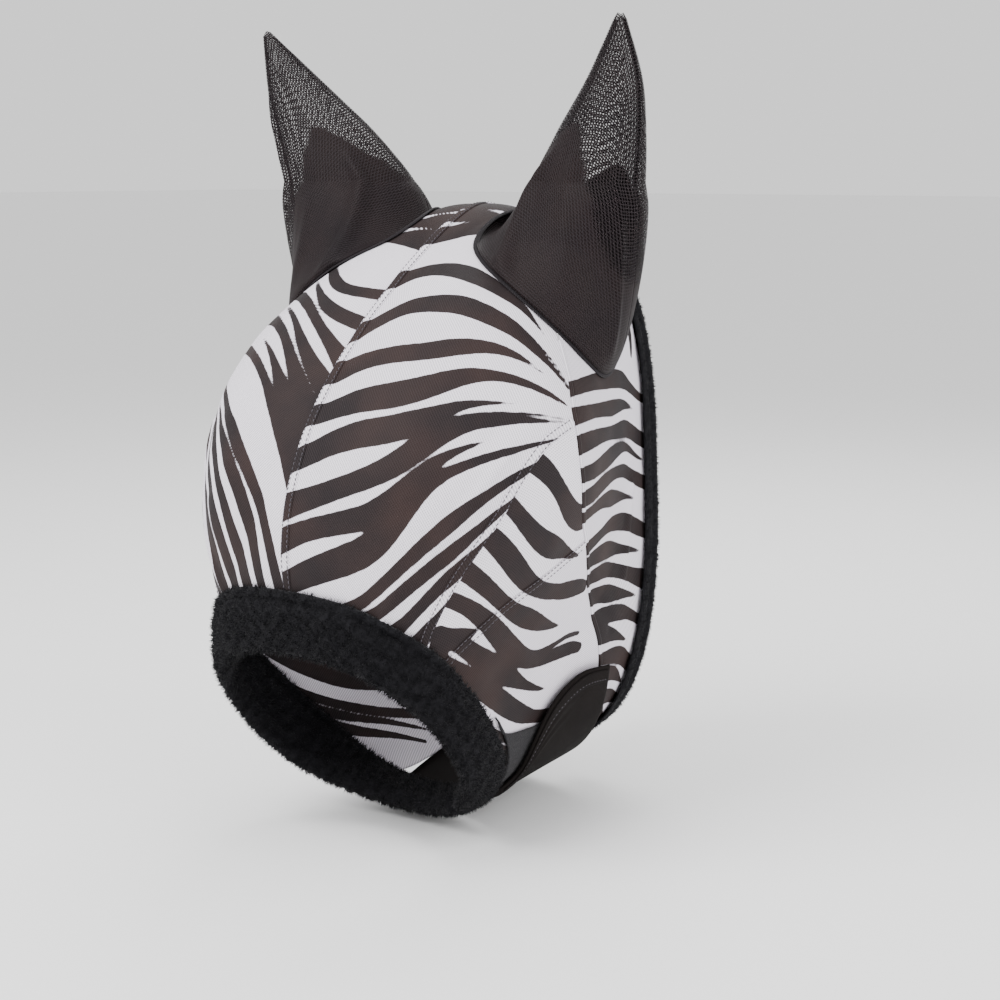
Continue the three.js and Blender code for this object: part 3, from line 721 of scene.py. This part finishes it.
centre_walk = line([0.07, 0.0], [0.93, 0.0])
centre_parts = seam_band(
    "centre_seam_fold", centre_walk, (0, 1), 260, FACE_STROKES["left"], FACE_NET, SEAM_PROFILE
)
shell_cloth(centre_parts[0], "centre_seam")
NARROW_PROFILE = [(-2.2, 0.7), (-1.4, 1.2), (0, 1.5), (1.4, 1.2), (2.2, 0.7)]
for side in ("left", "right"):
    mirror = side == "right"
    cheek_parts = seam_band(
        f"cheek_seam_fold_{side}", CHEEK_SEAM, (0.1, 0.985), 170, FACE_STROKES[side], FACE_NET,
        SEAM_PROFILE, mirror,
    )
    jaw_parts = seam_band(
        f"jaw_seam_fold_{side}", JAW_SEAM, (0.13, 0.985), 150, JAW_STROKES, JAW_NET, SEAM_PROFILE, mirror
    )
    dart = whole_dart(DART_LOWER[-1])
    dart_parts = seam_band(
        f"dart_seam_fold_{side}", dart, (0.02, 0.84), 190, CHEEK_STROKES, JAW_NET, NARROW_PROFILE,
        mirror, (),
    )
    for name, parts in (("cheek_seam", cheek_parts), ("jaw_seam", jaw_parts), ("dart_seam", dart_parts)):
        shell_cloth(parts[0], f"{name}_{side}")

# -------------------------------------------------------------------------------------------- ears
# Each ear is a soft sleeve of fine dark net in a front and a back panel, sewn to the oval hole in the
# printed cloth. The lower part is lined with a second layer, so only the tip and the edges show light.
EAR_RINGS = np.array([
    # height along the sleeve, centre x, y and z, half width across, half depth
    (0.0, 92, 3, -62, 56, 44), (0.35, 108, -9, 5, 55, 33), (0.62, 128, -19, 50, 43, 23),
    (0.82, 148, -31, 88, 26, 14), (1.0, 164, -47, 128, 4.5, 4),
])
EAR_TURN = math.radians(-16)
EAR_NECK = 0.35
EAR_THICK, BAND_THICK = 0.5, 0.6
SHELL_REACH, EAR_REACH = 4, 40
EAR_FOLDS = [
    # place round in half turns, lowest and highest t, depth in millimetres, half width in half turns
    (0.64, 0.02, 0.6, -6.0, 0.035), (0.14, 0.06, 0.85, -3.4, 0.03), (0.42, 0.1, 0.7, -1.8, 0.04),
    (0.27, 0.0, 0.6, 1.6, 0.06), (1.3, 0.0, 0.5, -2.5, 0.05), (1.65, 0.0, 0.6, -2.0, 0.04),
]
HOLE_CENTRE = on_head(0.855, 0.19, 0.0)
HOLE_OUT = unit(look_up(FORM_NORMALS, 0.855, 0.19))


def rounded_step(a, b, x):
    """0 before a, 1 after b, and 3 x squared less 2 x cubed between them."""
    x = np.clip((x - a) / (b - a), 0, 1)
    return x * x * (3 - 2 * x)


def ear_point(t, half_turns):
    """The left sleeve: the edge of the ear hole turning into level ovals, by a rounded step over the neck.
    Its foot bags out and up, most at the front: half a sine in t, times a sine of the place round."""
    x, y, z, across, deep = (smooth(EAR_RINGS[:, 0], EAR_RINGS[:, k], t) for k in range(1, 6))
    angle = math.pi * half_turns
    out, forward = across * np.cos(angle), deep * np.sin(angle)
    oval = np.stack([
        x + out * math.cos(EAR_TURN) + forward * math.sin(EAR_TURN),
        y + out * math.sin(EAR_TURN) - forward * math.cos(EAR_TURN),
        z,
    ], axis=-1)
    risen = rounded_step(0, EAR_NECK, t)[..., None]
    edge = on_head(*ear_hole(half_turns), np.full(np.shape(half_turns), 2.0))
    bag = np.sin(math.pi * np.clip(t / 0.42, 0, 1)) * (0.55 + 0.45 * np.sin(angle))
    outward = 11 * unit(edge - HOLE_CENTRE) + 12 * HOLE_OUT
    return edge * (1 - risen) + oval * risen + outward * bag[..., None]


def ear_skin(t, half_turns, height):
    """The sleeve at a height over it, with its soft upright folds: each a bell in place round the ear,
    fading in and out over its stretch."""
    points = ear_point(t, half_turns)
    normals = unit(np.cross(
        ear_point(t, half_turns + 0.01) - ear_point(t, half_turns - 0.01),
        ear_point(t + 0.01, half_turns) - ear_point(t - 0.01, half_turns),
    ))
    rise = np.asarray(height, float) + 0.0 * t
    for middle, low, high, depth, half in EAR_FOLDS:
        window = rounded_step(low, low + 0.12, t) * (1 - rounded_step(high - 0.18, high, t))
        away = (half_turns - middle + 1) % 2 - 1
        rise = rise + depth * window * np.exp(-((away / half) ** 2))
    return points + normals * rise[..., None], normals


def ear_lining(t, half_turns):
    """How far inside the lined part a place is: a pointed leaf that fills the foot and ends at
    t = 0.67 in the front and 0.5 in the back."""
    c = np.cos(math.pi * half_turns)
    top = np.where(half_turns > 1, 0.5, 0.67)
    spread = np.clip((top - t) / 0.32, 0, 1) ** 0.6
    leaf = np.minimum(-0.1 + 0.75 * spread - c, c + 0.1 + 1.15 * spread)
    return np.where(spread > 0, leaf, -0.3) + 1.5 * (1 - rounded_step(0.04, 0.3, t)) - 0.4 * (spread == 0)


net = Finish("ear_net", 0.55)
x, y = net.cloth()
holes = (x.wave(2.4) * y.wave(2.4) * 7.0 - 0.55).clamped()
lined = (net.field("lined") * 9.0 + 0.5 + (net.noise(60.0) - 0.5) * 1.4).clamped()
# Painted light: noise turns the dark net browner in patches, where light shows through it.
painted_net_light = net.mix(net.noise(22.0, 3.0), (0.005, 0.004, 0.005), (0.018, 0.011, 0.01))
# Painted highlight: the threads are lighter than the holes between them.
painted_net_light = net.mix((1 - holes) * 0.35, painted_net_light, (0.035, 0.031, 0.035))
net.set(Base_Color=painted_net_light, Alpha=1 - holes * (0.93 - lined * 0.86))
net.bump(1 - holes, 0.3, 0.6)
EAR_NET = net.material


def ear_cloth(piece, side):
    """Cloth of an ear, whose placing is baked into its points. its edge stays on the shell, and it follows
    the tilting ear from EAR_REACH out.
    """
    flip = np.array([-1 if side == "right" else 1, 1, 1])
    start, end = ((HOLE_CENTRE + HOLE_OUT * away) * flip / 1000 for away in (SHELL_REACH, EAR_REACH))
    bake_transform(piece)


ear_sleeves = {}
for side in ("left", "right"):
    for half, start, flat, area in (("front", 0.0, (0.2, 0.24), 0.026), ("back", 1.0, (0.2, 0.22), 0.024)):
        t, h = np.meshgrid(np.linspace(0, 1, 120), start + np.linspace(0, 1, 72), indexing="ij")
        points, normals = ear_skin(t, h, 0.5)
        tip = points[-1].mean(axis=0)
        points[-1] = (points[-1] * 0.1 + tip * 0.9) + (0, 0, 2.5)
        fields = {"lined": ear_lining(t, h)}
        name = f"ear_net_{half}_{side}"
        sleeve = sheet_piece(name, points, normals, EAR_NET, EAR_THICK, side == "right", fields)
        ear_cloth(sleeve, side)
        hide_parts(f"ear_{half}_{side}")
        ear_sleeves[side, half] = (sleeve, flat, area)

# ----------------------------------------------------------------------------------- ear seams
# The two panels of an ear meet in a bound seam up the outer and the inner edge, and the foot is sewn
# into the hole under a turned band of the same dark net.
dense = Finish("ear_binding", 0.6)
x, y = dense.cloth()
rib = x.wave(1.6) * (y.wave(1.4) * 0.4 + 0.6)
# Painted highlight and shade: lighter on the ribs that the bump raises, darker in the grooves between them.
dense.set(Base_Color=dense.mix(rib, (0.008, 0.007, 0.008), (0.035, 0.031, 0.034)))
dense.bump(rib, 0.3, 0.7)
EAR_BINDING = dense.material
for side in ("left", "right"):
    mirror = side == "right"
    bound = []
    for edge, middle in (("outer", 0.0), ("inner", 1.0)):
        t = np.linspace(0.02, 0.995, 130)[:, None]
        aside = np.linspace(-1, 1, 9)[None]
        girth = np.linalg.norm(ear_point(t, middle + 0.01) - ear_point(t, middle - 0.01), axis=-1) / 0.02
        half_turns = middle + aside * 2.1 / np.maximum(girth, 12)
        bulge = 0.6 + 1.3 * np.sqrt(1 - 0.95 * aside**2)
        points, normals = ear_skin(t + 0 * aside, half_turns, bulge + 0 * t)
        band = sheet_piece(f"ear_{edge}_binding_{side}", points, normals, EAR_BINDING, BAND_THICK, mirror)
        ear_cloth(band, side)
        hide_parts(f"ear_{edge}_seam_{side}")
        bound.append(band)
    turns = np.linspace(0, 2, 200)
    u, w = ear_hole(turns)
    aside = np.linspace(-2.2, 2.2, 9)
    side_u, side_w = beside(u, w, aside)
    points = on_head(side_u, side_w, 1.0 + 1.5 * np.sqrt(1 - (aside / 2.4) ** 2)[None] + 0 * side_u)
    ring = sheet_piece(
        f"ear_foot_band_{side}", points, look_up(FORM_NORMALS, side_u, side_w), EAR_BINDING,
        BAND_THICK, mirror,
    )
    shell_cloth(ring, f"ear_hole_seam_{side}")
    for half, parts in (("front", bound), ("back", [ring])):
        sleeve, flat, area = ear_sleeves[side, half]

# ---------------------------------------------------------------------------------------- noseband
# A roll of black fleece folded over the nose edge of the mask and sewn through near its upper lip. The
# pile is short, dense and clumped, and the gap in it under the left jaw lets the mask open.
NOSEBAND = {"width": 48, "on_mesh": 25, "thick": 18, "slot": 4.6}


def folded_outline(width, on_mesh, thick, slot, count):
    """The closed section of a folded fleece edge: a flat oval with a slot for the edge of the mesh, as a
    smooth curve through a few points of its outside and the slot's two walls."""
    beyond, half, middle = width - on_mesh, thick / 2, 0.5
    top, foot = middle + slot / 2, middle - slot / 2
    bulge = [(5 - on_mesh, half * 0.78), (width * 0.42 - on_mesh, half), (beyond - half * 0.6, half * 0.74)]
    outside = [(-on_mesh, top), (0.8 - on_mesh, top + 1.2), *bulge, (beyond, 0)]
    outside += [(x, -z) for x, z in bulge[::-1]] + [(0.8 - on_mesh, foot - 1.2), (-on_mesh, foot)]
    walls = [(-on_mesh / 2, foot - 0.3), (2.5, foot), (2.5, top), (-on_mesh / 2, top + 0.3)]
    corners = np.array(outside + walls)
    corners = np.concatenate([corners, corners[:1]])
    knots = lengths(corners)
    fine = np.linspace(0, knots[-1], count + 1)[:-1]
    outer = fine < knots[len(outside) - 1]
    return smooth(knots, corners[:, 0], fine), smooth(knots, corners[:, 1], fine), outer


def stretch_u(u, w):
    """Millimetres for one unit of u."""
    return np.linalg.norm(look_up(FORM, u + 0.01, w) - look_up(FORM, u - 0.01, w), axis=-1) / 0.02


def fleece_roll(size, u, direction, reach, count, around, groove, clump):
    """The folded section carried round the form at u, with rounded ends, a sewn groove and a clumpy
    surface, which is a product of slow sines along and round the roll. Gives points, normals, outside."""
    across, height, outer = folded_outline(count=around, **size)
    w = np.linspace(*reach, count)
    travelled = lengths(on_head(np.full(count, u), w))
    from_end = np.minimum(travelled, travelled[-1] - travelled)
    cap = np.sqrt(np.clip(1 - (1 - np.clip(from_end / 7, 0, 1)) ** 2, 0, 1))[:, None]
    middle = (size["width"] - size["on_mesh"]) / 2 - size["on_mesh"] / 2
    dip = groove[1] * np.exp(-(((across - groove[0]) / 2.2) ** 2))
    sewn = 1 - dip * (np.abs(height) > size["slot"] / 2 + 0.4)
    run = travelled[:, None]
    lumps = np.sin(run / 5.1 + 1.7 * np.sin(across / 6)) * np.sin(run / 7.7 + across / 4)
    puffed = height[None] * (sewn[None] + clump * lumps * outer[None])
    across = middle + (across[None] - middle) * cap
    places_u = u + direction * across / stretch_u(np.full(count, u), w)[:, None]
    points = on_head(places_u, w[:, None] + 0 * across, 0.5 + (puffed - 0.5) * cap)
    along, around_way = np.gradient(points, axis=0), np.roll(points, -1, axis=1) - np.roll(points, 1, axis=1)
    normals = unit(np.cross(along, around_way))
    centre = points.mean(axis=1, keepdims=True)
    if (normals * (points - centre)).sum() < 0:
        normals = -normals
    return points, normals, outer


GRAIN = [(0.5, 0.31, -0.4), (-0.36, 0.55, 0.42), (0.44, -0.4, 0.5)]


def pile(points, normals, outer, count, long, root, lean, seed):
    """Tufts of pile rooted at random on the outside of a roll, all at once. Each is a three-sided spike
    along the normal plus a random lean and a slow grain, which lays neighbours the same way in clumps."""
    draw = np.random.default_rng(seed)
    rows, columns = points.shape[:2]
    usable = np.flatnonzero(outer)
    i = draw.integers(2, rows - 3, count)
    j = usable[draw.integers(0, len(usable), count)]
    a, b = draw.random((2, count, 1))
    after = (j + 1) % columns
    near = points[i, j] * (1 - a) + points[i + 1, j] * a
    base = near * (1 - b) + (points[i, after] * (1 - a) + points[i + 1, after] * a) * b
    up = normals[i, j]
    grain = np.stack([np.sin(base @ np.array(turn)) for turn in GRAIN], axis=-1)
    way = unit(up + lean * (0.8 * grain + 0.55 * draw.normal(size=(count, 3))))
    way = unit(way + up * np.maximum(0, 0.35 - (way * up).sum(-1, keepdims=True)))
    aside = unit(np.cross(way, draw.normal(size=(count, 3))))
    other = np.cross(way, aside)
    turn = np.arange(3) * 2 * math.pi / 3
    ring = aside[:, None] * np.cos(turn)[None, :, None] + other[:, None] * np.sin(turn)[None, :, None]
    size = long * draw.uniform(0.6, 1.2, (count, 1))
    thick = root * draw.uniform(0.7, 1.3, (count, 1, 1))
    root_ring = (base - up * 0.7)[:, None] + ring * thick
    vertices = np.concatenate([root_ring, (base + way * size)[:, None]], axis=1)
    k = np.arange(3)
    sides = np.stack([k, (k + 1) % 3, k * 0 + 3], axis=1)
    faces = (sides[None] + (np.arange(count) * 4)[:, None, None]).reshape(-1, 3)
    return vertices.reshape(-1, 3), faces


def fleece_piece(name, points, normals, outer, tufts, finish):
    """The roll and its tufts as one mesh: quads round the roll, a fan over each end, and the spikes."""
    rows, columns = points.shape[:2]
    quads = quad_grid(rows, columns, closed=True)
    middle = quads[columns * (rows // 2)]
    a, b, c = points.reshape(-1, 3)[middle[:3]]
    flip = np.cross(b - a, c - b) @ normals.reshape(-1, 3)[middle[0]] < 0
    if flip:
        quads = quads[:, ::-1]
    ends = points[[0, -1]].mean(axis=1)
    count = rows * columns
    j = np.arange(columns)
    after = (j + 1) % columns
    start = np.stack([after, j, np.full(columns, count)], axis=1)
    last_row = (rows - 1) * columns
    stop = np.stack([j + last_row, after + last_row, np.full(columns, count + 1)], axis=1)
    fans = np.concatenate([start, stop])
    if flip:
        fans = fans[:, ::-1]
    triangles = np.concatenate([quads[:, [0, 1, 2]], quads[:, [0, 2, 3]], fans])
    spikes, sides = pile(points, normals, outer, **tufts)
    vertices = np.concatenate([points.reshape(-1, 3), ends, spikes])
    return make_mesh(name, vertices, np.concatenate([triangles, sides + count + 2]), finish)


fleece = Finish("black_fleece", 0.85)
tone = fleece.noise(420.0, 3.0)
fleece.set(Base_Color=fleece.mix(tone, (0.003, 0.003, 0.0035), (0.016, 0.0155, 0.018)))
fleece.set(Sheen_Weight=0.05, Sheen_Roughness=0.4)
fleece.bump(fleece.noise(700.0, 2.0), 0.8, 0.8)
FLEECE = fleece.material

points, normals, outer = fleece_roll(
    NOSEBAND, 0.0, -1, (0.775, -1.21), 430, 60, groove=(-18.5, 0.3), clump=0.045
)
noseband = fleece_piece(
    "noseband_roll", points, normals, outer,
    {"count": 44000, "long": 3.8, "root": 0.42, "lean": 0.8, "seed": 11}, FLEECE,
)
shell_cloth(noseband, "noseband_fleece")

# --------------------------------------------------------------------------------------- neck trim
# The neck edge is bound in the same fleece, in a narrower fold that is sewn down along its middle, with
# a shorter pile. It is open at the throat, where the flap closes over it.
NECK_TRIM = {"width": 23, "on_mesh": 13, "thick": 13, "slot": 5.8}
points, normals, outer = fleece_roll(
    NECK_TRIM, 1.0, 1, (0.955, -0.955), 430, 44, groove=(-3.0, 0.34), clump=0.035
)
trim = fleece_piece(
    "neck_edge_fleece", points, normals, outer,
    {"count": 30000, "long": 2.3, "root": 0.34, "lean": 0.8, "seed": 23}, FLEECE,
)
shell_cloth(trim, "neck_fleece")

# --------------------------------------------------------------------------------------- loop tape
# A wide patch of soft black loop tape on the left jaw edge, which the flap's hooks close on. It is sewn
# down round its edge.
NOSEBAND_AIR = 6
TAPE_HEIGHT, TAPE_THICK = 2.6, 1.3


def jaw_patch(edge, foot, high, low):
    """A patch under the jaw whose front edge, from w = high to w = low, runs beside the noseband."""
    def front(t):
        w = high + (low - high) * np.asarray(t, float)
        return [(NOSEBAND["on_mesh"] + NOSEBAND_AIR) / stretch_u(0 * w, w), w]

    corners = [[float(x) for x in front(t)] for t in (0.0, 1.0)]
    return patch(path([corners[0], *edge]), path([corners[1], *foot]), front, line(edge[-1], foot[-1]))


def edge_drop(s, t, reach, drop):
    """How far a sheet's rim turns down: by drop at its edge, to nothing over its reach."""
    nearest = np.minimum(np.minimum(s, 1 - s), np.minimum(t, 1 - t))
    return -drop * (1 - np.sqrt(np.clip(1 - (1 - np.clip(nearest / reach, 0, 1)) ** 2, 0, 1)))


loops = Finish("loop_tape_pile", 0.9)
tuft = loops.noise(900.0, 2.0)
loops.set(Base_Color=loops.mix(tuft, (0.008, 0.008, 0.009), (0.035, 0.033, 0.036)))
loops.set(Sheen_Weight=0.05, Sheen_Roughness=0.5)
loops.bump(tuft, 0.7, 0.9)
LOOPS = loops.material
tape_place = jaw_patch(
    [[0.24, 0.66], [0.42, 0.74], [0.55, 0.76], [0.8, 0.77]],
    [[0.32, 0.945], [0.42, 0.945], [0.55, 0.93], [0.8, 0.9]], 0.6, 0.945,
)
s, t = np.meshgrid(np.linspace(0, 1, 120), np.linspace(0, 1, 70), indexing="ij")
u, w = tape_place(s, t)
bare = on_head(u, w)
height = TAPE_HEIGHT + edge_drop(s, t, 0.03, 0.8) + 0.12 * np.sin(bare @ np.array([0.9, 0.4, 0.7]))
tape = sheet_piece("loop_tape_patch", on_head(u, w, height), look_up(FORM_NORMALS, u, w), LOOPS, TAPE_THICK)
shell_cloth(tape, "loop_tape")

# -------------------------------------------------------------------------------------- throat flap
# A wide flap of dark ribbed cloth from the right jaw edge, wrapped under the jaw and closed on the left
# with hook tape. Its free edge is turned in and sewn, and stands in soft folds beside the noseband.
flap_place = jaw_patch(
    [[0.31, 0.83], [0.4, 0.77], [0.52, 0.72], [0.66, 0.71], [0.8, 0.74]],
    [[0.4, 1.1], [0.6, 1.1], [0.82, 1.1]], 0.85, 1.1,
)
FLAP_HEIGHT, FLAP_THICK, HOOK_HEIGHT, FOLD_HEIGHT, STITCH_HEIGHT = 7.2, 1.8, 4.8, 8.4, 8.9
FLAP_RIDGES = [(0.045, 1.3, 0.018), (0.1, 1.5, 0.022), (0.16, 1.0, 0.022)]


def flap_height(s, t):
    """Height of the flap's middle: its rim turns down, and ridges run along the free edge at its front."""
    height = FLAP_HEIGHT + edge_drop(s, t, 0.035, 1.6)
    fade = 1 - rounded_step(0.45, 0.75, s)
    for middle, rise, half in FLAP_RIDGES:
        height = height + rise * fade * np.exp(-(((t - middle) / half) ** 2))
    return height


flap_cloth = Finish("flap_cloth", 0.8)
x, y = flap_cloth.cloth()
rib = x.wave(1.3) * 0.5 + y.wave(1.3) * 0.5
wear = flap_cloth.noise(40.0, 4.0)
tint = flap_cloth.mix(wear, (0.003, 0.0025, 0.0025), (0.01, 0.008, 0.0075))
# Painted highlight: lighter on the ribs that the bump raises.
flap_cloth.set(Base_Color=flap_cloth.mix(rib * 0.3, tint, (0.02, 0.016, 0.015)))
flap_cloth.bump(rib, 0.25, 0.6)
FLAP_CLOTH = flap_cloth.material


def flap_piece(piece, node):
    """A piece that opens with the flap."""
    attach(piece, "throat_flap")
    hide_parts(node)


s, t = np.meshgrid(np.linspace(0, 1, 130), np.linspace(0, 1, 130), indexing="ij")
u, w = flap_place(s, t)
flap = sheet_piece(
    "closing_flap", on_head(u, w, flap_height(s, t)), look_up(FORM_NORMALS, u, w), FLAP_CLOTH, FLAP_THICK
)
flap_piece(flap, "throat_flap")

# The hook tape under the flap, a stiff strip of fine nylon hooks behind the free edge.
s, t = np.meshgrid(np.linspace(0.06, 0.94, 110), np.linspace(0.05, 0.35, 30), indexing="ij")
u, w = flap_place(s, t)
under = on_head(u, w, HOOK_HEIGHT + 0 * s)
hooks = sheet_piece("hook_strip", under, look_up(FORM_NORMALS, u, w), LOOPS, TAPE_THICK)
flap_piece(hooks, "hook_tape")

# The turned and sewn free edge, a narrow band of the same cloth with one row of stitches in it.
s, t = np.meshgrid(np.linspace(0.03, 0.97, 150), np.linspace(0.012, 0.075, 9), indexing="ij")
u, w = flap_place(s, t)
across = np.linspace(-1, 1, 9)[None]
fold = FOLD_HEIGHT + 0.5 * np.sqrt(1 - 0.9 * across**2)
facing = look_up(FORM_NORMALS, u, w)
binding = sheet_piece("flap_turned_edge", on_head(u, w, fold), facing, FLAP_CLOTH, BAND_THICK)
flap_piece(binding, "flap_binding")
row_u, row_w = flap_place(s[:, 6], t[:, 6])
row = on_head(row_u, row_w, STITCH_HEIGHT + 0 * row_u)
sewn = stitch_row("flap_stitches", row, look_up(FORM_NORMALS, row_u, row_w), THREAD)
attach(sewn, "throat_flap")
